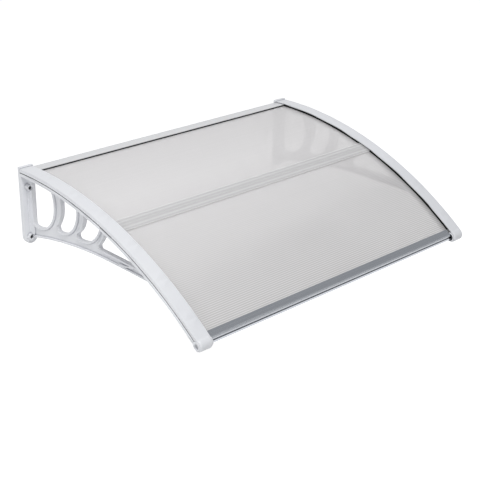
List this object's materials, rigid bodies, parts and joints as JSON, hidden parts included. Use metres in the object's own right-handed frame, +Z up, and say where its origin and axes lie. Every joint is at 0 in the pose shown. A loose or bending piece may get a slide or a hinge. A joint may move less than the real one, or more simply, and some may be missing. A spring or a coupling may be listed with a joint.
{
  "type": "window awning",
  "caption": "Arched wall awning with a twin-wall clear canopy clamped between two moulded scroll brackets, with metal front and rear bars.",
  "frame": {"origin": "on the wall face, in the middle of the rear bar's flat back", "axes": "+X along the wall to the right as seen from the street, +Y into the wall, +Z up; the canopy reaches out towards -Y"},
  "size_m": [1, 0.7384, 0.262],
  "materials": {
    "white_plastic": "smooth moulded white plastic",
    "sheet": "clear twin-wall polycarbonate",
    "joining_strip": "clear extruded polycarbonate",
    "rear_bar": "satin anodised",
    "front_bar": "satin anodised",
    "seal": "black rubber",
    "screw": "zinc plated"
  },
  "bodies": {
    "root": {"left_bracket": "white_plastic", "left_clamping_strip": "white_plastic", "left_rear_side_seal": "seal", "left_front_side_seal": "seal", "left_clamp_screw_1": "screw", "left_clamp_screw_2": "screw", "left_clamp_screw_3": "screw", "left_clamp_screw_4": "screw", "left_nose_screw": "screw", "right_bracket": "white_plastic", "right_clamping_strip": "white_plastic", "right_rear_side_seal": "seal", "right_front_side_seal": "seal", "right_clamp_screw_1": "screw", "right_clamp_screw_2": "screw", "right_clamp_screw_3": "screw", "right_clamp_screw_4": "screw", "right_nose_screw": "screw", "rear_sheet": "sheet", "front_sheet": "sheet", "sheet_joining_strip": "joining_strip", "rear_bar": "rear_bar", "rear_seal": "seal", "front_bar": "front_bar"}
  },
  "joints": []
}
